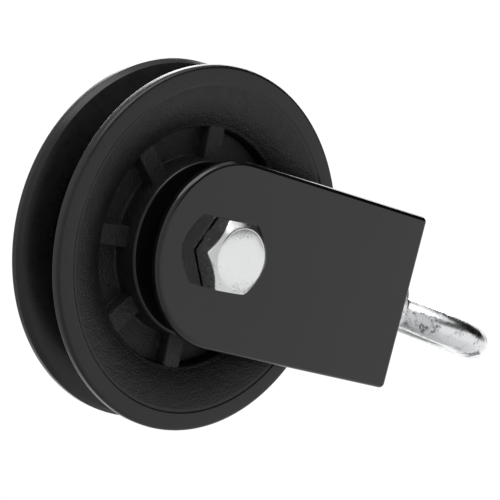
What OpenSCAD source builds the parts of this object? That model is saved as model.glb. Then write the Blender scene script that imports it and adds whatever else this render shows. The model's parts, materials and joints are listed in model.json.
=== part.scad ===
// Single sheave pulley block: a grooved nylon wheel on two ball bearings, carried
// in a bent steel bracket by a hexagon bolt, with a swivelling eye bolt on top.
// Frame: the block hangs from the centre of its eye, which is the origin. Z points up
// along the block, Y runs along the axle with the bolt head at -Y. Millimetres.

/* [Wheel] */
// Outside diameter of the wheel
wheel_d = 90; // [86:1:94]
// Width of the wheel over its rims
wheel_w = 18.4; // [18:0.1:19]
// Radius of the rope groove's root, from the axle
groove_root_r = 33; // [32.5:0.5:34]
// Diameter of the rope that the groove takes
rope_d = 6; // [5:0.5:6.5]
// Radius of the round outer corner of each rim
rim_round = 1; // [0.6:0.1:1.4]
// Inner radius of the smooth band round each rim
band_r = 40.6; // [39.5:0.1:41.5]
// Outer radius of the ribbed pocket in each side
pocket_r = 29.8; // [29:0.1:30]
// Height of the dished side at the pocket's edge, from the middle plane
pocket_edge_y = 5; // [4.6:0.1:5.6]
// Half thickness of the web at the pocket's floor
web_half = 1.5; // [1.2:0.1:2]
// Radius of the hub boss
hub_r = 21.8; // [20:0.1:22.5]
// Half width of the hub
hub_half = 8.3; // [8:0.1:8.5]
// Number of ribs in each pocket
ribs = 8; // [6:1:10]
// Width of a rib
rib_w = 5.3; // [4:0.1:6]

/* [Bearings] */
// Bore of each ball bearing
brg_bore = 10; // [10:0.5:10]
// Outside diameter of each ball bearing
brg_od = 26; // [26:0.5:26]
// Width of each ball bearing
brg_w = 8; // [8:0.5:8]
// Ball diameter
ball_d = 4.762; // [4.7:0.001:4.8]
// Diameter of the circle through the ball centres
ball_pitch_d = 18; // [17.9:0.1:18.1]
// Number of balls in each bearing
balls = 7; // [6:1:7]
// Width of the shoulder between the two bearings
shoulder_w = 1.2; // [1:0.1:1.4]

/* [Bracket] */
// Width of the bracket's plate
plate_w = 46.6; // [44:0.1:50]
// Thickness of the bracket's plate
plate_t = 3; // [2.5:0.1:3.2]
// Distance over the two arms
over_arms = 31.5; // [31:0.1:33]
// Height of the bridge's outer face above the axle
bridge_z = 69.1; // [68:0.1:72]
// Height of the round end's centre above the axle
end_centre_z = 2.5; // [0:0.1:4]
// Outside radius of the two bends
bend_r = 1.8; // [1:0.1:2.4]
// Diameter of the hole for the eye bolt
eye_hole_d = 13.6; // [13.2:0.1:14.2]

/* [Axle] */
// Diameter of the axle bolt
bolt_d = 10; // [10:0.5:10]
// Width across flats of the bolt head and of both nuts
hex_af = 17; // [16:0.5:17]
// Height of the bolt head
head_k = 6.4; // [6:0.1:7]
// Length of the axle bolt under its head
bolt_l = 46; // [45:1:50]
// Turn of the bolt head about the axle, in degrees
head_turn = 26.6; // [0:0.1:60]

/* [Swivel eye] */
// Inside diameter of the eye
eye_inside_d = 26.2; // [24:0.1:28]
// Thickness of the bar round the eye
eye_bar_d = 8.8; // [8:0.1:9.5]
// Height of the eye's centre above the collar's seat
eye_rise = 20.3; // [20:0.1:22]
// Diameter of the eye bolt's collar
collar_d = 25; // [22:0.5:26]
// Free height under the collar
collar_play = 1.75; // [1.7:0.05:2.2]
// Lean of the eye bolt in its hole at rest, in degrees
eye_lean = 6.5; // [0:0.1:6.5]
// Turn of the eye about its own shank, in degrees
eye_turn = 3.8; // [-90:0.1:90]
// Height above the axle of the point that the eye bolt leans about
lean_z = 60; // [58:0.5:62]

/* [Hidden] */

fine = 96;
wheel_r = wheel_d / 2;
wheel_half = wheel_w / 2;
arm_out = over_arms / 2;              // outer face of an arm
arm_in = arm_out - plate_t;           // inner face of an arm
brg_mid = (shoulder_w + brg_w) / 2;   // middle of a bearing
brg_face = shoulder_w / 2 + brg_w;    // outer face of a bearing
brg_r = brg_od / 2;
ball_r = ball_d / 2;
race_r = ball_r + 0.05;
pitch_r = ball_pitch_d / 2;
inner_land_r = 7.4;
outer_land_r = 11.3;
shield_r = 11.7;
groove_r = rope_d / 2 + 0.2;
groove_c = groove_root_r + groove_r;
groove_top = 6.3;                     // half opening of the groove at the rim
washer_t = 2;
nut_h = 10;
nut_hex_h = 7.4;
eye_r = (eye_inside_d + eye_bar_d) / 2;
bar_r = eye_bar_d / 2;
bridge_in = bridge_z - plate_t;
seat_z = bridge_z + collar_play;      // collar's seat, measured along the shank
swivel_washer_t = 2.5;
swivel_nut_top = bridge_in - 0.05 - swivel_washer_t - 1.3;
shank_end = swivel_nut_top - nut_h - 1.2;
eye_along = seat_z + eye_rise - lean_z;
eye_x = eye_along * sin(eye_lean);    // centre of the eye in the wheel's frame
eye_z = lean_z + eye_along * cos(eye_lean);

// Turns a shape drawn along +Z so that it lies along +Y.
module on_axle() { rotate([-90, 0, 0]) children(); }

// Ring of rectangular section about Z, from z0 to z1.
module ring(ro, ri, z0, z1) {
    translate([0, 0, z0]) difference() {
        cylinder(r = ro, h = z1 - z0, $fn = fine);
        translate([0, 0, -1]) cylinder(r = ri, h = z1 - z0 + 2, $fn = fine);
    }
}

// The parts are drawn about the middle of the wheel, and then hung from the eye.
module hung() { translate([-eye_x, 0, -eye_z]) children(); }

// Eye bolt's own frame: leaned towards +X about a point on the block's axis.
module eye_frame() {
    translate([0, 0, lean_z]) rotate([0, eye_lean, 0]) rotate([0, 0, eye_turn])
        translate([0, 0, -lean_z]) children();
}

// ---- wheel ----

// Half of the wheel's section, x = radius and y = along the axle, y >= 0.
module wheel_half_section() {
    dish_steps = 7;
    // the dished side falls ever more steeply towards the pocket
    dish = [for (i = [0:dish_steps])
        let(t = i / dish_steps)
        [band_r - 0.3 - t * (band_r - 0.3 - pocket_r),
         wheel_half - 0.2 - (wheel_half - 0.2 - pocket_edge_y) * (0.45 * t + 0.55 * t * t)]];
    difference() {
        union() {
            polygon(concat(
                [[11.6, 0], [wheel_r, 0], [wheel_r, wheel_half - rim_round],
                 [wheel_r - rim_round, wheel_half - rim_round],
                 [wheel_r - rim_round, wheel_half], [band_r, wheel_half]],
                dish,
                [[pocket_r - 0.15, web_half], [hub_r + 0.1, web_half],
                 [hub_r, hub_half - 0.5], [hub_r - 0.5, hub_half],
                 [brg_r + 0.7, hub_half], [brg_r + 0.02, hub_half - 0.6],
                 [brg_r + 0.02, shoulder_w / 2], [11.6, shoulder_w / 2]]));
            translate([wheel_r - rim_round, wheel_half - rim_round])
                circle(r = rim_round, $fn = fine);
        }
        // rope groove: round root with walls that open outwards
        translate([groove_c, 0]) circle(r = groove_r, $fn = fine);
        polygon([[groove_c, -1], [groove_c, groove_r - 0.01], [groove_c + 1.4, groove_r + 0.1],
                 [wheel_r - 1, groove_top - 0.5], [wheel_r + 1, groove_top + 1.8],
                 [wheel_r + 1, -1]]);
    }
}

module side_ribs() {
    for (i = [0:ribs - 1]) rotate([0, 0, i * 360 / ribs + 40.2])
        translate([hub_r - 0.6, -rib_w / 2, web_half - 0.2])
            cube([pocket_r - hub_r + 1.1, rib_w, pocket_edge_y - web_half + 0.2]);
}

module sheave_wheel() {
    color([0.13, 0.13, 0.135]) hung() on_axle() {
        rotate_extrude($fn = fine) wheel_half_section();
        mirror([0, 0, 1]) rotate_extrude($fn = fine) wheel_half_section();
        side_ribs();
        mirror([0, 0, 1]) side_ribs();
    }
}

// ---- ball bearings, drawn with their middle plane at z = 0 ----

module outer_ring() {
    rotate_extrude($fn = fine) difference() {
        polygon([[outer_land_r, -3.3], [shield_r + 0.05, -3.3], [shield_r + 0.05, -brg_w / 2],
                 [brg_r - 0.4, -brg_w / 2], [brg_r, -brg_w / 2 + 0.4],
                 [brg_r, brg_w / 2 - 0.4], [brg_r - 0.4, brg_w / 2],
                 [shield_r + 0.05, brg_w / 2], [shield_r + 0.05, 3.3], [outer_land_r, 3.3]]);
        translate([pitch_r, 0]) circle(r = race_r, $fn = fine);
    }
}

module inner_ring() {
    rotate_extrude($fn = fine) difference() {
        polygon([[brg_bore / 2 + 0.4, -brg_w / 2], [inner_land_r - 0.2, -brg_w / 2],
                 [inner_land_r, -brg_w / 2 + 0.2], [inner_land_r, brg_w / 2 - 0.2],
                 [inner_land_r - 0.2, brg_w / 2], [brg_bore / 2 + 0.4, brg_w / 2],
                 [brg_bore / 2, brg_w / 2 - 0.4], [brg_bore / 2, -brg_w / 2 + 0.4]]);
        translate([pitch_r, 0]) circle(r = race_r, $fn = fine);
    }
}

module ball_row(r) {
    for (i = [0:balls - 1]) rotate([0, 0, i * 360 / balls])
        translate([pitch_r, 0, 0]) sphere(r = r, $fn = 48);
}

module cage() {
    difference() {
        ring(pitch_r + 0.4, pitch_r - 0.4, -2.95, 2.95);
        for (i = [0:balls - 1]) rotate([0, 0, i * 360 / balls]) rotate([0, 90, 0])
            translate([0, 0, pitch_r - 2]) cylinder(r = ball_r + 0.07, h = 4, $fn = fine);
    }
}

module shields() {
    for (s = [-1, 1]) ring(shield_r, inner_land_r + 0.3, s * 3.45 - 0.13, s * 3.45 + 0.13);
}

module at_bearing(s) { on_axle() translate([0, 0, s * brg_mid]) children(); }

module front_bearing_outer_ring() { color([0.62, 0.63, 0.65]) hung() at_bearing(-1) outer_ring(); }
module rear_bearing_outer_ring() { color([0.62, 0.63, 0.65]) hung() at_bearing(1) outer_ring(); }
module front_bearing_inner_ring() { color([0.58, 0.59, 0.61]) hung() at_bearing(-1) inner_ring(); }
module rear_bearing_inner_ring() { color([0.58, 0.59, 0.61]) hung() at_bearing(1) inner_ring(); }
module front_bearing_balls() { color([0.8, 0.81, 0.83]) hung() at_bearing(-1) ball_row(ball_r); }
module rear_bearing_balls() { color([0.8, 0.81, 0.83]) hung() at_bearing(1) ball_row(ball_r); }
module front_bearing_cage() { color([0.7, 0.66, 0.55]) hung() at_bearing(-1) cage(); }
module rear_bearing_cage() { color([0.7, 0.66, 0.55]) hung() at_bearing(1) cage(); }
module front_bearing_shields() { color([0.5, 0.51, 0.53]) hung() at_bearing(-1) shields(); }
module rear_bearing_shields() { color([0.5, 0.51, 0.53]) hung() at_bearing(1) shields(); }

// ---- spacers on the axle ----

module bearing_spacer() {
    color([0.7, 0.71, 0.72]) hung() on_axle()
        ring(6.9, bolt_d / 2 + 0.1, -shoulder_w / 2, shoulder_w / 2);
}

module side_spacer() { ring(7, bolt_d / 2 + 0.1, brg_face, arm_in); }
module front_side_spacer() { color([0.72, 0.73, 0.75]) hung() on_axle() mirror([0, 0, 1]) side_spacer(); }
module rear_side_spacer() { color([0.72, 0.73, 0.75]) hung() on_axle() side_spacer(); }

// ---- bracket ----

// Outline of an arm seen along the axle: x across, y = height.
module arm_outline() {
    translate([0, end_centre_z]) circle(d = plate_w, $fn = fine);
    translate([-plate_w / 2, end_centre_z]) square([plate_w, bridge_z - end_centre_z]);
}

// Square with two round upper corners, centred on x, from y0 to y1.
module capped(half, y0, y1, r) {
    translate([-half, y0]) square([2 * half, y1 - r - y0]);
    translate([-half + r, y0]) square([2 * half - 2 * r, y1 - y0]);
    for (s = [-1, 1]) translate([s * (half - r), y1 - r]) circle(r = r, $fn = fine);
}

module bracket() {
    color([0.09, 0.09, 0.095]) hung() difference() {
        intersection() {
            // bent strip: the section, drawn in Y and Z, pushed across X
            rotate([90, 0, 90]) translate([0, 0, -plate_w / 2]) linear_extrude(plate_w)
                difference() {
                    capped(arm_out, -30, bridge_z, bend_r);
                    capped(arm_in, -31, bridge_in, 0.6);
                }
            rotate([90, 0, 0]) translate([0, 0, -arm_out - 1])
                linear_extrude(2 * arm_out + 2) arm_outline();
        }
        on_axle() translate([0, 0, -arm_out - 1])
            cylinder(d = bolt_d + 0.3, h = 2 * arm_out + 2, $fn = fine);
        translate([0, 0, bridge_in - 1]) cylinder(d = eye_hole_d, h = plate_t + 2, $fn = fine);
    }
}

// ---- hexagon bolt, nuts and washers ----

// Hexagon prism from z0 to z1, chamfered at the ends that are asked for, from a circle
// of that share of the width across flats and at that slope.
module hexagon(af, z0, z1, low, high, share = 0.95, slope = 30) {
    e = af / sqrt(3);
    c = af / 2 * share;
    k = (e - c) * tan(slope);
    intersection() {
        translate([0, 0, z0]) cylinder(r = e, h = z1 - z0, $fn = 6);
        rotate_extrude($fn = fine) polygon([[0, z0], [low ? c : e + 1, z0],
            [e + 1, low ? z0 + k + tan(slope) : z0], [e + 1, high ? z1 - k - tan(slope) : z1],
            [high ? c : e + 1, z1], [0, z1]]);
    }
}

module axle_bolt() {
    r = bolt_d / 2;
    color([0.78, 0.79, 0.78]) hung() on_axle() {
        // washer face and head
        translate([0, 0, -arm_out - 0.4]) cylinder(r = hex_af / 2 * 0.94, h = 0.4, $fn = fine);
        rotate([0, 0, head_turn]) mirror([0, 0, 1])
            hexagon(hex_af, arm_out + 0.4, arm_out + head_k, false, true, 0.87, 35);
        // plain shank, then the thread's outside diameter with a chamfered end
        translate([0, 0, -arm_out - 0.2])
            cylinder(r = r - 0.03, h = 2 * arm_out - 2, $fn = fine);
        rotate_extrude($fn = fine) polygon([[0, 0], [r - 0.1, 0], [r - 0.1, bolt_l - arm_out - 1],
            [r - 1, bolt_l - arm_out], [0, bolt_l - arm_out]]);
    }
}

module axle_washer() {
    color([0.74, 0.75, 0.76]) hung() on_axle() ring(10, 5.25, arm_out, arm_out + washer_t);
}

// Lock nut about Z: bearing face at z = 0, nylon end upwards.
module lock_nut() {
    difference() {
        union() {
            hexagon(hex_af, 0, nut_hex_h, true, true);
            translate([0, 0, nut_hex_h - 0.5]) cylinder(r = 7.9, h = nut_h - nut_hex_h - 0.1, $fn = fine);
            rotate_extrude($fn = fine) polygon([[0, nut_hex_h], [7.9, nut_hex_h],
                [7.9, nut_h - 0.7], [7.2, nut_h], [0, nut_h]]);
        }
        translate([0, 0, -1]) cylinder(r = 5.02, h = nut_h + 2, $fn = fine);
        translate([0, 0, nut_h - 2.6]) cylinder(r = 6.5, h = 2.1, $fn = fine);
        translate([0, 0, nut_h - 1]) cylinder(r = 6, h = 2, $fn = fine);
    }
}

module nut_insert() { ring(6.5, 4.98, nut_h - 2.6, nut_h - 0.5); }

module at_axle_nut() {
    on_axle() translate([0, 0, arm_out + washer_t]) rotate([0, 0, 11]) children();
}
module axle_nut() { color([0.76, 0.77, 0.76]) hung() at_axle_nut() lock_nut(); }
module axle_nut_insert() { color([0.85, 0.86, 0.84]) hung() at_axle_nut() nut_insert(); }

// ---- swivelling eye ----

module eye_bolt() {
    color([0.77, 0.78, 0.78]) hung() eye_frame() {
        // ring, cut off level with the collar's seat
        intersection() {
            translate([0, 0, seat_z + eye_rise]) rotate([0, 90, 0])
                rotate_extrude($fn = fine) translate([eye_r, 0]) circle(r = bar_r, $fn = fine);
            translate([-40, -40, seat_z + 0.6]) cube([80, 80, 80]);
        }
        // collar that runs up into the ring with a hollow flare
        difference() {
            rotate_extrude($fn = fine) difference() {
                polygon([[0, seat_z], [collar_d / 2 - 0.5, seat_z], [collar_d / 2, seat_z + 0.5],
                         [collar_d / 2, seat_z + 3.1], [collar_d / 2 - 0.8, seat_z + 3.9],
                         [bar_r + 0.2, seat_z + 9.2], [0, seat_z + 9.2]]);
                translate([bar_r + 6.6, seat_z + 9.5]) circle(r = 5.9, $fn = fine);
            }
            translate([-20, 0, seat_z + eye_rise]) rotate([0, 90, 0])
                cylinder(d = eye_inside_d, h = 40, $fn = fine);
        }
        // shank
        rotate_extrude($fn = fine) polygon([[0, shank_end], [4, shank_end], [4.95, shank_end + 0.95],
            [4.95, seat_z + 0.2], [0, seat_z + 0.2]]);
    }
}

module swivel_washer() {
    color([0.74, 0.75, 0.76]) hung()
        ring(12, 6.6, bridge_in - 0.05 - swivel_washer_t, bridge_in - 0.05);
}

module at_swivel_nut() {
    eye_frame() translate([0, 0, swivel_nut_top]) rotate([180, 0, 17]) children();
}
module swivel_nut() { color([0.76, 0.77, 0.76]) hung() at_swivel_nut() lock_nut(); }
module swivel_nut_insert() { color([0.85, 0.86, 0.84]) hung() at_swivel_nut() nut_insert(); }

sheave_wheel();
front_bearing_outer_ring();
rear_bearing_outer_ring();
front_bearing_inner_ring();
rear_bearing_inner_ring();
front_bearing_balls();
rear_bearing_balls();
front_bearing_cage();
rear_bearing_cage();
front_bearing_shields();
rear_bearing_shields();
bearing_spacer();
front_side_spacer();
rear_side_spacer();
bracket();
axle_bolt();
axle_washer();
axle_nut();
axle_nut_insert();
eye_bolt();
swivel_washer();
swivel_nut();
swivel_nut_insert();
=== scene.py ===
import bpy
import bmesh
import json
import math
from mathutils import Matrix, Vector, noise


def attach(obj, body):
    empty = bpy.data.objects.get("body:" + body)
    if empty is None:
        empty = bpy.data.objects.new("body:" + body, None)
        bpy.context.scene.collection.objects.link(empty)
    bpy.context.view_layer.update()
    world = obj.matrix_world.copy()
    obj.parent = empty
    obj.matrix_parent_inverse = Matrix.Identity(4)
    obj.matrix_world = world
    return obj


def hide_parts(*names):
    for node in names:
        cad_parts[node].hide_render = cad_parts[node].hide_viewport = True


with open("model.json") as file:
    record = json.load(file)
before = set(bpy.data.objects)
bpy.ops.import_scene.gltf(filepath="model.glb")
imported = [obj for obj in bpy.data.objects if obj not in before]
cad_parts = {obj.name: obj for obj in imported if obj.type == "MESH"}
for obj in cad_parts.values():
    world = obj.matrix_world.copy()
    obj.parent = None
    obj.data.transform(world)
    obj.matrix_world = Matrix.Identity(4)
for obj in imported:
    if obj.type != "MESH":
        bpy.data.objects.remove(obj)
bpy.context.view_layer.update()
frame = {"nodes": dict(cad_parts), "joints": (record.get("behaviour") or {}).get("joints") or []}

MM = 0.001
spin = [j for j in frame["joints"] if j["name"] == "wheel_spin"][0]
WHEEL = Vector(spin["pos_m"])              # wheel's centre, in the row frame

# ------------------------------------------------------------------ mesh helpers


def to_row(p):
    """A point in millimetres about the wheel's centre, in the row frame in metres."""
    return WHEEL + Vector(p) * MM


def new_object(name, verts, faces, sharp=40.0, attrs=None):
    me = bpy.data.meshes.new(name)
    me.from_pydata([tuple(v) for v in verts], [], faces)
    me.validate()
    if attrs:
        for key, vals in attrs.items():
            a = me.attributes.new(key, "FLOAT", "POINT")
            a.data.foreach_set("value", vals)
    ob = bpy.data.objects.new(name, me)
    bpy.context.scene.collection.objects.link(ob)
    tidy(me, sharp)
    return ob


def tidy(me, sharp):
    """Joins doubled points, drops empty faces, points the faces outwards and shades them smooth."""
    bm = bmesh.new()
    bm.from_mesh(me)
    bmesh.ops.remove_doubles(bm, verts=bm.verts, dist=2e-6)
    bmesh.ops.dissolve_degenerate(bm, edges=bm.edges, dist=1e-6)
    bmesh.ops.recalc_face_normals(bm, faces=bm.faces)
    bm.to_mesh(me)
    bm.free()
    me.shade_smooth()
    me.set_sharp_from_angle(angle=math.radians(sharp))


def grid_faces(nu, nv, close_u, close_v):
    faces = []
    for i in range(nu if close_u else nu - 1):
        for j in range(nv if close_v else nv - 1):
            a = i * nv + j
            b = ((i + 1) % nu) * nv + j
            c = ((i + 1) % nu) * nv + (j + 1) % nv
            d = i * nv + (j + 1) % nv
            faces.append((a, b, c, d))
    return faces


def rounded(points, seg=5):
    """A polyline of (r, y, radius), with each corner turned into an arc of that radius."""
    out = []
    n = len(points)
    for i, (x, y, rad) in enumerate(points):
        if rad <= 0 or i in (0, n - 1):
            out.append((x, y))
            continue
        p = Vector((x, y))
        a = Vector(points[i - 1][:2]) - p
        b = Vector(points[i + 1][:2]) - p
        la, lb = a.length, b.length
        a.normalize()
        b.normalize()
        ang = a.angle(b)
        if ang > math.pi - 0.02:
            out.append((x, y))
            continue
        cut = min(rad / math.tan(ang / 2), la * 0.49, lb * 0.49)
        r = cut * math.tan(ang / 2)
        centre = p + (a + b).normalized() * (r / math.sin(ang / 2))
        s, e = p + a * cut, p + b * cut
        a0 = math.atan2(s.y - centre.y, s.x - centre.x)
        a1 = math.atan2(e.y - centre.y, e.x - centre.x)
        da = (a1 - a0 + math.pi) % (2 * math.pi) - math.pi
        for k in range(seg + 1):
            t = a0 + da * k / seg
            out.append((centre.x + r * math.cos(t), centre.y + r * math.sin(t)))
    return out


def axle_point(r, th, y):
    """Radius, angle about the axle (0 = +Z, 90 degrees = -X) and place along it, in millimetres."""
    return to_row((-r * math.sin(th), y, r * math.cos(th)))


def lathe(name, profile, n=128, closed=True, place=axle_point, sharp=40.0):
    verts = []
    for i in range(n):
        th = 2 * math.pi * i / n
        for r, y in profile:
            verts.append(place(r, th, y))
    return new_object(name, verts, grid_faces(n, len(profile), True, closed), sharp)


def smoothstep(t):
    t = min(1.0, max(0.0, t))
    return t * t * (3 - 2 * t)


# eye bolt's own frame: leaned towards +X about a point on the block's axis
TILT = (Matrix.Translation((0, 0, 60)) @ Matrix.Rotation(math.radians(6.5), 4, "Y")
        @ Matrix.Rotation(math.radians(3.8), 4, "Z") @ Matrix.Translation((0, 0, -60)))


def eye_point(p):
    return to_row(TILT @ Vector(p))


def shank_point(r, th, z):
    return eye_point((r * math.cos(th), r * math.sin(th), z))


def block_point(r, th, z):
    return to_row((r * math.cos(th), r * math.sin(th), z))


# ------------------------------------------------------------------ material helpers


def new_mat(name):
    m = bpy.data.materials.new(name)
    m.use_nodes = True
    nt = m.node_tree
    bsdf = nt.nodes["Principled BSDF"]
    return m, nt, bsdf


def link(nt, a, b):
    nt.links.new(a, b)


def coords(nt, scale=(1, 1, 1)):
    tc = nt.nodes.new("ShaderNodeTexCoord")
    mp = nt.nodes.new("ShaderNodeMapping")
    mp.inputs["Scale"].default_value = scale
    link(nt, tc.outputs["Object"], mp.inputs["Vector"])
    return mp.outputs["Vector"]


def noise_tex(nt, vec, scale, detail=3.0, rough=0.5, distortion=0.0):
    n = nt.nodes.new("ShaderNodeTexNoise")
    n.inputs["Scale"].default_value = scale
    n.inputs["Detail"].default_value = detail
    n.inputs["Roughness"].default_value = rough
    n.inputs["Distortion"].default_value = distortion
    link(nt, vec, n.inputs["Vector"])
    return n.outputs["Fac"]


def ramp(nt, fac, stops):
    r = nt.nodes.new("ShaderNodeValToRGB")
    el = r.color_ramp.elements
    while len(el) < len(stops):
        el.new(0.5)
    for e, (pos, col) in zip(el, stops):
        e.position = pos
        e.color = (*col, 1.0) if len(col) == 3 else col
    link(nt, fac, r.inputs["Fac"])
    return r.outputs["Color"]


def span(nt, fac, a, b, lo_, hi_):
    m = nt.nodes.new("ShaderNodeMapRange")
    m.inputs["From Min"].default_value = a
    m.inputs["From Max"].default_value = b
    m.inputs["To Min"].default_value = lo_
    m.inputs["To Max"].default_value = hi_
    link(nt, fac, m.inputs["Value"])
    return m.outputs["Result"]


def math_node(nt, op, a, b):
    m = nt.nodes.new("ShaderNodeMath")
    m.operation = op
    for k, v in enumerate((a, b)):
        if isinstance(v, (int, float)):
            m.inputs[k].default_value = v
        else:
            link(nt, v, m.inputs[k])
    return m.outputs[0]


def bump(nt, height, strength, distance, normal=None):
    b = nt.nodes.new("ShaderNodeBump")
    b.inputs["Strength"].default_value = strength
    b.inputs["Distance"].default_value = distance
    link(nt, height, b.inputs["Height"])
    if normal is not None:
        link(nt, normal, b.inputs["Normal"])
    return b.outputs["Normal"]


# moulded black nylon: spark grain where the attribute says so, smoother on the bands
def nylon_material():
    m, nt, b = new_mat("wheel_nylon")
    v = coords(nt)
    at = nt.nodes.new("ShaderNodeAttribute")
    at.attribute_name = "spark"
    spark = at.outputs["Fac"]
    big = noise_tex(nt, v, 60, 3, 0.5)
    mid = noise_tex(nt, v, 420, 2, 0.5)
    fine = noise_tex(nt, v, 1900, 2, 0.6)
    col = ramp(nt, big, [(0.3, (0.0022, 0.0022, 0.0023)), (0.7, (0.0036, 0.0036, 0.0037))])
    link(nt, col, b.inputs["Base Color"])
    rough = math_node(nt, "ADD", span(nt, mid, 0.3, 0.7, 0.26, 0.33),
                      math_node(nt, "MULTIPLY", spark, 0.15))
    link(nt, rough, b.inputs["Roughness"])
    h = math_node(nt, "MULTIPLY", math_node(nt, "ADD", math_node(nt, "MULTIPLY", fine, 0.8),
                                            math_node(nt, "MULTIPLY", mid, 0.6)),
                  math_node(nt, "MAXIMUM", spark, 0.06))
    link(nt, bump(nt, h, 0.95, 0.00024), b.inputs["Normal"])
    b.inputs["Specular IOR Level"].default_value = 0.43
    return m


# glossy black powder coat with a faint orange peel
def paint_material():
    m, nt, b = new_mat("bracket_paint")
    v = coords(nt)
    peel = noise_tex(nt, v, 330, 2, 0.5)
    big = noise_tex(nt, v, 45, 4, 0.6)
    specks = noise_tex(nt, v, 2600, 1, 0.4)
    col = ramp(nt, big, [(0.3, (0.0026, 0.0026, 0.0027)), (0.7, (0.0042, 0.0042, 0.0043))])
    link(nt, col, b.inputs["Base Color"])
    r1 = span(nt, big, 0.3, 0.7, 0.05, 0.09)
    dust = span(nt, specks, 0.74, 0.80, 0.0, 0.2)
    link(nt, math_node(nt, "ADD", r1, dust), b.inputs["Roughness"])
    link(nt, bump(nt, peel, 0.10, 0.00004), b.inputs["Normal"])
    b.inputs["Specular IOR Level"].default_value = 0.5
    return m


# bright zinc plating: fine scratches and slightly uneven tone
def zinc_material(name="zinc_plate", base=(0.84, 0.85, 0.85), dark=(0.48, 0.49, 0.50),
                  rough=(0.15, 0.32), mottle=0.45, dents=0.16, patches=0.10):
    m, nt, b = new_mat(name)
    v = coords(nt)
    big = noise_tex(nt, v, 160, 5, 0.65, 0.3)
    fine = noise_tex(nt, v, 1500, 3, 0.6)
    scratch = noise_tex(nt, coords(nt, (1, 1, 9)), 900, 3, 0.7)
    tone = math_node(nt, "ADD", math_node(nt, "MULTIPLY", big, 1 - mottle),
                     math_node(nt, "MULTIPLY", fine, mottle))
    # duller patches where the plating is thin
    spots = span(nt, noise_tex(nt, v, 300, 6, 0.75, 0.5), 0.50, 0.60, 0.0, 1.0)
    where = span(nt, noise_tex(nt, v, 75, 2, 0.5), 0.46, 0.60, 0.0, patches)
    tone = math_node(nt, "SUBTRACT", tone, math_node(nt, "MULTIPLY", spots, where))
    col = ramp(nt, tone, [(0.10, tuple(c * 0.25 for c in dark)), (0.32, dark), (0.44, base)])
    link(nt, col, b.inputs["Base Color"])
    b.inputs["Metallic"].default_value = 1.0
    link(nt, span(nt, tone, 0.35, 0.65, rough[1], rough[0]), b.inputs["Roughness"])
    n1 = bump(nt, big, dents, 0.0003)
    link(nt, bump(nt, scratch, 0.12, 0.00003, n1), b.inputs["Normal"])
    return m


def steel_material(name, base, rough, turned=0.08):
    """Machined steel: fine turning marks and a little variation in tone."""
    m, nt, b = new_mat(name)
    v = coords(nt)
    n = noise_tex(nt, v, 700, 3, 0.6)
    col = ramp(nt, n, [(0.3, tuple(c * 0.82 for c in base)), (0.7, base)])
    link(nt, col, b.inputs["Base Color"])
    b.inputs["Metallic"].default_value = 1.0
    link(nt, span(nt, n, 0.3, 0.7, rough * 0.8, rough * 1.3), b.inputs["Roughness"])
    fine = noise_tex(nt, coords(nt, (1, 6, 1)), 1800, 2, 0.6)
    link(nt, bump(nt, fine, turned, 0.00003), b.inputs["Normal"])
    return m


def plastic_material(name, base, rough):
    m, nt, b = new_mat(name)
    v = coords(nt)
    n = noise_tex(nt, v, 500, 3, 0.5)
    col = ramp(nt, n, [(0.3, tuple(c * 0.9 for c in base)), (0.7, base)])
    link(nt, col, b.inputs["Base Color"])
    link(nt, span(nt, n, 0.3, 0.7, rough * 0.85, rough * 1.15), b.inputs["Roughness"])
    link(nt, bump(nt, n, 0.15, 0.00005), b.inputs["Normal"])
    return m


NYLON = nylon_material()
PAINT = paint_material()
ZINC = zinc_material()
EYE_ZINC = zinc_material("eye_zinc", base=(0.84, 0.85, 0.86), dark=(0.30, 0.31, 0.33),
                         rough=(0.14, 0.32), mottle=0.25, dents=0.5, patches=0.34)
BEARING = steel_material("bearing_steel", (0.62, 0.63, 0.65), 0.18)
SHIELD = steel_material("shield_steel", (0.46, 0.47, 0.49), 0.30)
CAGE = steel_material("cage_steel", (0.60, 0.58, 0.52), 0.35)
SPACER = steel_material("spacer_steel", (0.66, 0.67, 0.69), 0.28, 0.15)
INSERT = plastic_material("insert_nylon", (0.62, 0.64, 0.60), 0.42)


def dress(ob, mat):
    ob.data.materials.clear()
    ob.data.materials.append(mat)
    return ob


# ------------------------------------------------------------------ wheel

RIM = 45.0
HALF_W = 9.2
POCKET_Y = 5.0
WEB = 1.5


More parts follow.
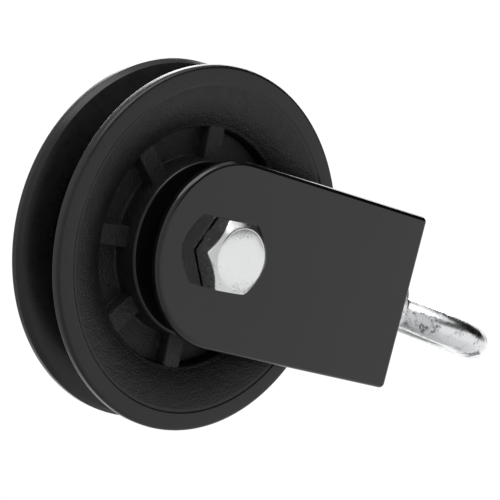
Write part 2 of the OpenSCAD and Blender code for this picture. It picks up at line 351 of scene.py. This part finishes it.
def wheel_piece():
    th0 = math.radians(4.8)
    # angles, closer together where a rib's wall is
    angles = []
    for k in range(8):
        base = th0 + k * math.pi / 4
        for d in [0, 1.2, 2.4, 3.4, 4.2] + [4.6 + 0.22 * i for i in range(20)] + [9.2, 10, 11]:
            angles.append(base + math.radians(d))
        for d in range(12, 34):
            angles.append(base + math.radians(d))
        for d in [34, 35] + [36.0 + 0.22 * i for i in range(20)] + [40.8, 41.6, 42.6, 43.8]:
            angles.append(base + math.radians(d))
    # half of the closed section, from the middle of the bore out to the groove's root
    front = [(11.6, 0.0, 0), (11.6, 0.6, 0.1), (13.02, 0.6, 0.0), (13.02, 7.7, 0.1),
             (13.7, 8.3, 0.15), (21.8, 8.3, 0.55), (21.95, 1.5, 0.0)]
    p1 = rounded(front, 4)
    # hub wall, split so that a rib can run into it
    hub_top = p1[:-1]
    wall = [(21.8 + 0.3 * t, 7.2 - (7.2 - 1.95) * t) for t in (0.0, 0.2, 0.4, 0.5, 0.7, 0.9)]
    foot = [(22.14, 1.72), (22.26, 1.58), (22.45, 1.5)]
    floor = [(22.45 + (29.05 - 22.45) * t / 10, 1.5) for t in range(1, 11)]
    out_foot = [(29.25, 1.58), (29.38, 1.75), (29.42, 1.95)]
    out_wall = [(29.42 + 0.16 * t, 1.95 + (4.45 - 1.95) * t) for t in (0.25, 0.5, 0.75, 1.0)]
    edge = [(29.64, 4.72), (29.76, 4.90), (29.98, 5.04)]
    dish = []
    for i in range(1, 15):
        t = 1 - i / 14
        if i < 1:
            continue
        r = 40.3 - t * (40.3 - 29.8)
        y = 9.0 - (9.0 - POCKET_Y) * (0.45 * t + 0.55 * t * t)
        dish.append((r, y))
    dish[-1] = (40.25, 8.985)
    band = rounded([(40.25, 8.985, 0), (40.62, HALF_W, 0.25), (44.0, HALF_W, 0)], 3)[1:]
    lip = []
    for i in range(1, 10):
        a = math.radians(90 - 10 * i)
        lip.append((RIM - 1.0 + math.cos(a), HALF_W - 1.0 + math.sin(a)))
    lip += rounded([(45.0, 8.2, 0), (45.0, 6.95, 0.35), (44.0, 5.8, 0.16), (42.3, 5.12, 0)], 4)[1:-1]
    groove = [(42.3, 5.12), (40.4, 4.38), (38.8, 3.76), (37.6, 3.3)]
    for i in range(1, 12):
        a = math.radians(25 + (90 - 25) * i / 11)
        # circle about (36.2, 0), radius 3.2, from its shoulder to the root
        ang = math.radians(65) + (math.pi - math.radians(65)) * i / 11
        groove.append((36.2 + 3.2 * math.cos(ang), 3.2 * math.sin(ang)))
    half = hub_top + wall + foot + floor + out_foot + out_wall + edge + dish + band + lip + groove
    half[-1] = (33.0, 0.0)
    i_wall = len(hub_top)
    i_edge = i_wall + len(wall) + len(foot) + len(floor) + len(out_foot) + len(out_wall) + len(edge)
    i_dish = i_edge + len(dish)
    full = [(r, y, 1, j) for j, (r, y) in enumerate(half)]
    full += [(r, -y, -1, j) for j, (r, y) in reversed(list(enumerate(half[1:-1], 1)))]
    verts, spark = [], []
    nicks = [(-39.3, 19.1), (-44.1, -4.0), (-31.3, -16.5), (-38.5, -1.2)]
    for th in angles:
        rel = (th - th0 + math.pi / 8) % (math.pi / 4) - math.pi / 8
        for r, y, s, j in full:
            mag = abs(y)
            if i_wall <= j < i_edge:
                side = abs(r * math.sin(rel))
                rib = WEB + (POCKET_Y - 0.02 - WEB) * (1 - smoothstep((side - 2.38) / 0.56))
                if mag < rib:
                    mag = rib
                elif mag - rib < 0.25:
                    mag += 0.25 * (0.25 - (mag - rib)) ** 2 / 0.25
            verts.append(axle_point(r, th, math.copysign(mag, y) if y else 0.0))
            if j < i_wall - 1:
                sp = -0.35
            elif j < i_edge:
                sp = 1.5
            elif j < i_dish - 1:
                sp = 1.0
            else:
                sp = 0.0
            spark.append(sp)
    ob = new_object("wheel", verts, grid_faces(len(angles), len(full), True, True), 60.0,
                    {"spark": spark})
    # small moulding nicks by the lip of the front rim
    for b_, c_ in nicks:
        spot = to_row((-c_, -HALF_W, b_))
        for v in ob.data.vertices:
            d = (v.co - spot).length / MM
            if d < 0.9:
                v.co.y += 0.22 * MM * (1 - d / 0.9)
    return dress(ob, NYLON)


wheel = wheel_piece()
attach(wheel, "wheel")
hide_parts("sheave_wheel")

# ------------------------------------------------------------------ bracket

ARM_OUT, ARM_IN, PLATE_T = 15.75, 12.75, 3.0
BRIDGE, PLATE_HALF, END_Z = 69.1, 23.3, 2.5
ARRIS = 1.45


def cutter(name, point, r, z0, z1, n=96):
    verts, faces = [], []
    for z in (z0, z1):
        for i in range(n):
            verts.append(point(r, 2 * math.pi * i / n, z))
    for i in range(n):
        faces.append((i, (i + 1) % n, n + (i + 1) % n, n + i))
    faces.append(tuple(range(n))[::-1])
    faces.append(tuple(range(n, 2 * n)))
    ob = new_object(name, verts, faces)
    return ob


def bracket_piece():
    n = 72
    low = [(PLATE_HALF * math.cos(math.pi + math.pi * i / n),
            END_Z + PLATE_HALF * math.sin(math.pi + math.pi * i / n)) for i in range(n + 1)]
    outer = [(-PLATE_HALF, BRIDGE)] + low + [(PLATE_HALF, BRIDGE)]
    inner = [(-PLATE_HALF, BRIDGE - PLATE_T)] + low + [(PLATE_HALF, BRIDGE - PLATE_T)]
    verts, faces = [], []
    rings = []
    for y, line in ((-ARM_OUT, outer), (-ARM_IN, inner), (ARM_IN, inner), (ARM_OUT, outer)):
        rings.append(list(range(len(verts), len(verts) + len(line))))
        verts += [to_row((x, y, z)) for x, z in line]
    m = len(outer)
    fo, fi, bi, bo = rings
    faces.append(tuple(fo))
    faces.append(tuple(fi)[::-1])
    faces.append(tuple(bi))
    faces.append(tuple(bo)[::-1])
    for a, b in ((fo, fi), (bi, bo)):
        for i in range(m - 1):
            faces.append((a[i], a[i + 1], b[i + 1], b[i]))
    faces.append((fo[0], fo[-1], bo[-1], bo[0]))          # bridge, outside
    faces.append((fi[0], fi[-1], bi[-1], bi[0]))          # bridge, inside
    faces.append((fo[0], bo[0], bi[0], fi[0]))            # bridge, one edge
    faces.append((fo[-1], bo[-1], bi[-1], fi[-1]))        # bridge, other edge
    ob = new_object("bracket_shell", verts, faces, 30.0)
    bev = ob.modifiers.new("arris", "BEVEL")
    bev.width = ARRIS * MM
    bev.segments = 6
    bev.limit_method = "ANGLE"
    bev.angle_limit = math.radians(35)
    bev.miter_outer = "MITER_SHARP"
    cuts = [cutter("cut_bolt", axle_point, 5.15, -20, 20),
            cutter("cut_eye", block_point, 6.8, 60, 75)]
    for c in cuts:
        bo_ = ob.modifiers.new("hole", "BOOLEAN")
        bo_.operation = "DIFFERENCE"
        bo_.solver = "EXACT"
        bo_.object = c
    dg = bpy.context.evaluated_depsgraph_get()
    me = bpy.data.meshes.new_from_object(ob.evaluated_get(dg))
    ob.modifiers.clear()
    ob.data = me
    me.shade_smooth()
    me.set_sharp_from_angle(angle=math.radians(40))
    for c in cuts:
        bpy.data.objects.remove(c)
    wn = ob.modifiers.new("normals", "WEIGHTED_NORMAL")
    wn.keep_sharp = True
    wn.weight = 100
    return dress(ob, PAINT)


bracket = bracket_piece()
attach(bracket, "block")
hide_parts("bracket")

# ------------------------------------------------------------------ hexagon parts

AF = 17.0


def hex_angles():
    out = []
    for k in range(6):
        for d in (-30, -29.5, -29, -28.4, -27.6, -26.5, -25, -22, -18, -13, -8, -4, 0,
                  4, 8, 13, 18, 22, 25, 26.5, 27.6, 28.4, 29, 29.5):
            out.append((math.radians(60 * k + d), math.radians(d)))
    return out


def hex_radius(d):
    flat = AF / 2 / math.cos(d)
    tip = AF / math.sqrt(3) - 0.10
    k = 0.05
    # soft minimum of the flat and of a circle just inside the tip
    h = max(0.0, min(1.0, 0.5 + 0.5 * (tip - flat) / k / 2))
    return tip * (1 - h) + flat * h - k * 2 * h * (1 - h)


def hex_block(name, place, turn, rows):
    """rows: (share of the way from c to the hexagon, fixed radius or None, height, slope) for each ring."""
    verts = []
    angs = hex_angles()
    for th, d in angs:
        R = hex_radius(d)
        for kind, val, y, slope in rows:
            if kind == "r":
                r, yy = val, y
            elif kind == "t":                      # between radius c = slope[0] and the hexagon
                c, tan = slope
                r = c + (R - c) * val
                yy = y - tan * (r - c)
            else:                                  # "w": on the wall, offset in and down
                c, tan = slope
                r = R - val[0]
                yy = y - tan * (R - c) - val[1]
            verts.append(place(r, th + turn, yy))
    return verts, grid_faces(len(angs), len(rows), True, False), len(angs)


def bolt_head_rows(y0, y1):
    """Washer-faced head from its underside y0 to its top y1 (heights grow outwards)."""
    c = AF / 2 * 0.87
    tan = math.tan(math.radians(35))
    rows = [("r", 0.0, y1, None), ("r", 3.0, y1, None), ("r", c - 0.34, y1, None),
            ("r", c - 0.22, y1 - 0.07, None), ("r", c - 0.08, y1 - 0.04, None)]
    rows += [("t", t, y1 - 0.03, (c, tan)) for t in (0.04, 0.3, 0.6, 0.85, 0.96)]
    rows += [("w", (0.05, 0.02), y1 - 0.03, (c, tan)), ("w", (0.0, 0.12), y1 - 0.03, (c, tan)),
             ("w", (0.0, 0.4), y1 - 0.03, (c, tan))]
    rows += [("w", (0.0, 0.0), y0 + 0.9, (c, 0.0)), ("w", (0.0, 0.0), y0 + 0.16, (c, 0.0)),
             ("w", (0.05, 0.0), y0 + 0.04, (c, 0.0)), ("w", (0.16, 0.0), y0, (c, 0.0)),
             ("r", 8.02, y0, None), ("r", 8.0, y0 - 0.03, None), ("r", 7.95, y0 - 0.4, None),
             ("r", 4.9, y0 - 0.4, None)]
    return rows


def thread_shell(name_verts, place, r_major, z0, z1, end_low, end_high, pitch=1.5, depth=0.72, n=64):
    """Screw thread from z0 to z1 with chamfered ends; returns verts and faces to join to a piece."""
    steps = max(8, int((z1 - z0) / pitch * 10))
    verts = []
    for i in range(n):
        th = 2 * math.pi * i / n
        col = [(0.0, z0)]
        for j in range(steps + 1):
            z = z0 + (z1 - z0) * j / steps
            f = (z / pitch - i / n) % 1.0
            tri = abs(2 * f - 1)
            cut = depth * min(1.0, max(0.0, (tri - 0.10) / 0.78))
            r = r_major - cut
            if end_high:
                r = min(r, r_major - 0.95 + max(0.0, (z1 - z)) * 1.0)
            if end_low:
                r = min(r, r_major - 0.95 + max(0.0, (z - z0)) * 1.0)
            col.append((r, z))
        col.append((0.0, z1))
        for r, z in col:
            verts.append(place(r, th, z))
    m = len(verts) // n
    return verts, grid_faces(n, m, True, False)


def merge(name, parts, sharp=35.0):
    verts, faces = [], []
    for vs, fs in parts:
        k = len(verts)
        verts += vs
        faces += [tuple(k + i for i in f) for f in fs]
    return new_object(name, verts, faces, sharp)


def solid_of_profile(profile, place, n=96):
    verts = []
    for i in range(n):
        th = 2 * math.pi * i / n
        for r, y in profile:
            verts.append(place(r, th, y))
    return verts, grid_faces(n, len(profile), True, False)


def axle_minus(r, th, y):
    return axle_point(r, th, -y)


def bolt_piece():
    # head: the hexagon's corner 3.45 degrees from +Z towards -X
    turn = math.radians(3.45 + 30)
    hv, hf, _ = hex_block("head", axle_minus, turn, bolt_head_rows(16.15, 22.15))
    shank = rounded([(0.0, -15.9, 0), (4.97, -15.9, 0.0), (4.97, 14.0, 0.3), (4.5, 14.6, 0.1),
                     (0.0, 14.6, 0)], 3)
    sv, sf = solid_of_profile(shank, axle_point)
    tv, tf = thread_shell(None, axle_point, 4.95, 14.3, 30.25, False, True)
    return dress(merge("hex_bolt", [(hv, hf), (sv, sf), (tv, tf)]), ZINC)


bolt = bolt_piece()
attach(bolt, "block")
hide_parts("axle_bolt")


def nut_rows():
    c = AF / 2 * 0.945
    tan = math.tan(math.radians(30))
    h, hh = 10.0, 7.4
    rows = [("r", 5.02, 0.6, None), ("r", 5.5, 0.02, None), ("r", c - 0.1, 0.0, None),
            ("t", 0.05, 0.02, (c, -tan)), ("t", 0.4, 0.02, (c, -tan)), ("t", 0.8, 0.02, (c, -tan)),
            ("t", 0.96, 0.02, (c, -tan)),
            ("w", (0.03, -0.05), 0.02, (c, -tan)), ("w", (0.0, -0.18), 0.02, (c, -tan)),
            ("w", (0.0, 0.18), hh - 0.02, (c, tan)), ("w", (0.03, 0.05), hh - 0.02, (c, tan)),
            ("t", 0.96, hh, (c, tan)), ("t", 0.7, hh, (c, tan)), ("t", 0.3, hh, (c, tan)),
            ("r", 8.0, hh - 0.02, None), ("r", 7.92, hh + 0.05, None), ("r", 7.9, hh + 0.2, None),
            ("r", 7.88, 9.0, None), ("r", 7.8, 9.35, None), ("r", 7.55, 9.68, None),
            ("r", 7.15, 9.92, None), ("r", 6.7, 10.0, None), ("r", 6.25, 9.95, None),
            ("r", 6.05, 9.8, None), ("r", 6.0, 9.5, None), ("r", 6.0, 9.45, None),
            ("r", 6.52, 9.45, None), ("r", 6.52, 7.4, None), ("r", 5.02, 7.4, None)]
    return rows


def nut_piece(name, place, turn):
    v, f, _ = hex_block(name, place, turn, nut_rows())
    # close the bore
    rows = len(nut_rows())
    n = len(v) // rows
    for i in range(n):
        a, b = i * rows, ((i + 1) % n) * rows
        f.append((a, b, b + rows - 1, a + rows - 1))
    return dress(new_object(name, v, f, 35.0), ZINC)


def axle_nut_point(r, th, y):
    return axle_point(r, th, 17.75 + y)


def swivel_nut_point(r, th, y):
    return shank_point(r, th, 62.25 - y)


nut_a = nut_piece("axle_lock_nut", axle_nut_point, math.radians(-11))
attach(nut_a, "block")
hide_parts("axle_nut")
nut_b = nut_piece("swivel_lock_nut", swivel_nut_point, math.radians(17))
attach(nut_b, "eye")
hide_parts("swivel_nut")


def washer_piece(name, node, body, place, ro, ri, y0, y1, mat, edge=0.35):
    mid = (y0 + y1) / 2
    p = rounded([(ri, mid, 0), (ri, y1, 0.15), (ro, y1, edge), (ro, y0, edge), (ri, y0, 0.15),
                 (ri, mid - 0.001, 0)], 4)
    ob = dress(lathe(name, p, 128, True, place), mat)
    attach(ob, body)
    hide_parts(node)
    return ob


washer_piece("plain_washer", "axle_washer", "block", axle_point, 10.0, 5.25, 15.75, 17.75, ZINC)
washer_piece("swivel_plain_washer", "swivel_washer", "washer", block_point, 12.0, 6.6, 63.55, 66.05,
             ZINC)

# ------------------------------------------------------------------ eye bolt


def eye_piece():
    seat, rise = 70.85, 20.3
    ring_r, bar = 17.5, 4.4
    nu, nv = 128, 40
    verts = []
    for i in range(nu):
        a = 2 * math.pi * i / nu
        for j in range(nv):
            b = 2 * math.pi * j / nv
            r = ring_r + bar * math.cos(b)
            verts.append(Vector((bar * math.sin(b), r * math.sin(a), seat + rise + r * math.cos(a))))
    tf = grid_faces(nu, nv, True, True)
    # collar and hollow flare, a closed lathe shape; the hole is opened by the ring's own inside
    neck = [(0.0, seat, 0), (12.5, seat, 0.7), (12.5, seat + 2.8, 1.0), (11.0, seat + 2.9, 0.8)]
    prof = rounded(neck, 4)
    for i in range(0, 11):
        a = math.radians(-82 - 98 * i / 10)
        prof.append((11.0 + 5.9 * math.cos(a), seat + 8.7 + 5.9 * math.sin(a)))
    prof.append((0.0, seat + 8.7))
    prof = [(r, min(z, seat + 9.0)) for r, z in prof]
    cv, cf = [], []
    n = 96
    for i in range(n):
        th = 2 * math.pi * i / n
        for r, z in prof:
            # keep the flare below the ring's hole
            x, y = r * math.cos(th), r * math.sin(th)
            zz = z
            if abs(y) < ring_r:
                top = seat + rise - math.sqrt(max(0.0, (ring_r - bar * 0.75) ** 2 - y * y))
                zz = min(z, top)
            cv.append(Vector((x, y, max(zz, seat))))
    cf = grid_faces(n, len(prof), True, False)
    both = verts + cv
    faces = tf + [tuple(len(verts) + k for k in f) for f in cf]
    ob = new_object("forging", [eye_point(p) for p in both], faces, 180.0)
    rm = ob.modifiers.new("skin", "REMESH")
    rm.mode = "VOXEL"
    rm.voxel_size = 0.42 * MM
    rm.use_smooth_shade = True
    sm = ob.modifiers.new("forged", "SMOOTH")
    sm.factor = 0.5
    sm.iterations = 9
    dg = bpy.context.evaluated_depsgraph_get()
    me = bpy.data.meshes.new_from_object(ob.evaluated_get(dg))
    bpy.data.objects.remove(ob)
    inv = TILT.inverted()
    vs = []
    for v in me.vertices:
        q = inv @ ((v.co - WHEEL) / MM)
        flat = q.z < seat + 0.4
        w = 0.0 if flat else 1.0
        k = noise.noise(q * 0.22) * 0.08 + noise.noise(q * 0.75) * 0.03
        nrm = (v.normal)
        co = v.co - nrm * MM * (0.05 - k * w - 0.01)
        vs.append(co.copy())
    fs = [tuple(p.vertices) for p in me.polygons]
    sh = rounded([(0.0, 71.8, 0), (4.95, 71.8, 0), (4.95, 64.8, 0.2), (4.6, 64.3, 0.2), (0.0, 64.3, 0)], 3)
    sv, sf = solid_of_profile(sh, shank_point)
    hv, hf = thread_shell(None, shank_point, 4.95, 51.05, 64.6, True, False)
    ob = merge("eye_bolt_forging", [(vs, fs), (sv, sf), (hv, hf)], 50.0)
    return dress(ob, EYE_ZINC)


eye = eye_piece()
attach(eye, "eye")
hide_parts("eye_bolt")

# ------------------------------------------------------------------ carried-over CAD nodes

nodes = frame["nodes"]
for names, mat in (
    (("front_bearing_outer_ring", "rear_bearing_outer_ring", "front_bearing_inner_ring",
      "rear_bearing_inner_ring", "front_bearing_balls", "rear_bearing_balls"), BEARING),
    (("front_bearing_cage", "rear_bearing_cage"), CAGE),
    (("front_bearing_shields", "rear_bearing_shields"), SHIELD),
    (("bearing_spacer", "front_side_spacer", "rear_side_spacer"), SPACER),
    (("axle_nut_insert", "swivel_nut_insert"), INSERT),
):
    for n_ in names:
        dress(nodes[n_], mat)

# ------------------------------------------------------------------ stage, light, camera

scene = bpy.context.scene
scene.view_settings.view_transform = "Standard"
scene.view_settings.look = "None"
scene.view_settings.exposure = 0.0
scene.view_settings.gamma = 1.0

TENT, DARK, BACKDROP = 0.90, 0.06, 1.10
RIGHT = Vector((-0.25190387, -0.67837782, 0.69017967))
UP = Vector((-0.96765839, 0.16663018, -0.18939803))
BACK = Vector((0.01347866, -0.71556825, -0.69841278))

cam_data = bpy.data.cameras.new("camera")
cam = bpy.data.objects.new("camera", cam_data)
scene.collection.objects.link(cam)
cam_data.sensor_width = 36.0
cam_data.lens = 36.0 * 2026.34 * 1.0055 / 500.0
cam_data.clip_start = 0.02
cam_data.clip_end = 20.0
m = Matrix.Identity(4)
for i in range(3):
    m[i][0], m[i][1], m[i][2] = RIGHT[i], UP[i], BACK[i]
m.translation = WHEEL + Vector((0.003955, -0.370049, -0.337789))
cam.matrix_world = m
scene.camera = cam

world = bpy.data.worlds.new("studio")
scene.world = world
world.use_nodes = True
wt = world.node_tree
geo = wt.nodes.new("ShaderNodeTexCoord")


def facing(direction):
    """How far the looked-up direction agrees with this one, from -1 to 1."""
    d = wt.nodes.new("ShaderNodeVectorMath")
    d.operation = "DOT_PRODUCT"
    wt.links.new(geo.outputs["Generated"], d.inputs[0])
    d.inputs[1].default_value = tuple(direction)
    return d.outputs["Value"]


def step(value, a_, b_, lo_, hi_):
    m_ = wt.nodes.new("ShaderNodeMapRange")
    m_.interpolation_type = "SMOOTHSTEP"
    m_.inputs["From Min"].default_value = a_
    m_.inputs["From Max"].default_value = b_
    m_.inputs["To Min"].default_value = lo_
    m_.inputs["To Max"].default_value = hi_
    wt.links.new(value, m_.inputs["Value"])
    return m_.outputs["Result"]


# a white tent with two dark openings, one by the camera, and a white backdrop behind the block
side = step(facing(RIGHT), -0.75, 0.5, TENT * 0.34, TENT)
gap = step(facing(RIGHT * 0.72 + UP * 0.42 - BACK * 0.55), 0.83, 0.90, 1.0, 0.05)
room = step(facing(BACK * 0.97 + UP * 0.22), 0.78, 0.88, 1.0, 0.10)


def times(a_, b_):
    n_ = wt.nodes.new("ShaderNodeMath")
    n_.operation = "MULTIPLY"
    wt.links.new(a_, n_.inputs[0])
    wt.links.new(b_, n_.inputs[1])
    return n_.outputs[0]


over = step(facing(UP), 0.05, 0.13, 0.0, 1.0)
under = step(facing(UP), 0.46, 0.60, 1.0, 0.0)
right = step(facing(RIGHT), 0.50, 0.66, 0.0, 1.0)
ledge = step(times(times(over, under), right), 0.0, 1.0, 1.0, 0.08)
tent = times(times(times(side, gap), room), ledge)
drop = step(facing(RIGHT * -0.2 - UP * 0.1 - BACK * 0.97), 0.67, 0.76, 0.0, BACKDROP)
most = wt.nodes.new("ShaderNodeMath")
most.operation = "MAXIMUM"
wt.links.new(tent, most.inputs[0])
wt.links.new(drop, most.inputs[1])
bg = wt.nodes["Background"]
bg.inputs["Color"].default_value = (1.0, 1.0, 1.0, 1)
below = step(facing(UP), -0.80, -0.45, 0.80, 1.0)
wt.links.new(times(most.outputs[0], below), bg.inputs["Strength"])
white = wt.nodes.new("ShaderNodeBackground")
white.inputs["Color"].default_value = (1, 1, 1, 1)
white.inputs["Strength"].default_value = 1.05
lp = wt.nodes.new("ShaderNodeLightPath")
mix = wt.nodes.new("ShaderNodeMixShader")
wt.links.new(lp.outputs["Is Camera Ray"], mix.inputs["Fac"])
wt.links.new(bg.outputs["Background"], mix.inputs[1])
wt.links.new(white.outputs["Background"], mix.inputs[2])
wt.links.new(mix.outputs["Shader"], wt.nodes["World Output"].inputs["Surface"])

TARGET = WHEEL + Vector((0, 0, 0.03))


def photo_dir(r, u, b):
    return (RIGHT * r + UP * u + BACK * b).normalized()


def softbox(name, direction, distance, w, h, radiance):
    """Softbox that looks at the block, its width along the camera's right-hand side."""
    data = bpy.data.lights.new(name, "AREA")
    data.shape = "RECTANGLE"
    data.size, data.size_y = w, h
    data.energy = radiance * math.pi * w * h
    ob = bpy.data.objects.new(name, data)
    scene.collection.objects.link(ob)
    x = (RIGHT - direction * RIGHT.dot(direction)).normalized()
    y = direction.cross(x)
    mm = Matrix.Identity(4)
    for k in range(3):
        mm[k][0], mm[k][1], mm[k][2] = x[k], y[k], direction[k]
    mm.translation = TARGET + direction * distance
    ob.matrix_world = mm
    return ob


# long overhead softbox, in front of the block
softbox("top_light", photo_dir(0.10, 0.86, 0.44), 0.9, 1.15, 0.5, 2.6)
# rim light, behind and above
softbox("rim_light", photo_dir(-0.05, 0.62, -0.78), 0.9, 1.1, 0.34, 5.0)

# pale floor, far below the hanging block
fv = [Vector((x, y, -0.80)) for x, y in ((-3, -3), (3, -3), (3, 3), (-3, 3))]
fl_mat, fnt, fb = new_mat("floor_paper")
fcol = ramp(fnt, noise_tex(fnt, coords(fnt), 6, 3, 0.5), [(0.3, (0.78, 0.78, 0.78)), (0.7, (0.82, 0.82, 0.82))])
link(fnt, fcol, fb.inputs["Base Color"])
fb.inputs["Roughness"].default_value = 0.9
floor_ob = dress(new_object("floor", fv, [(0, 1, 2, 3)]), fl_mat)
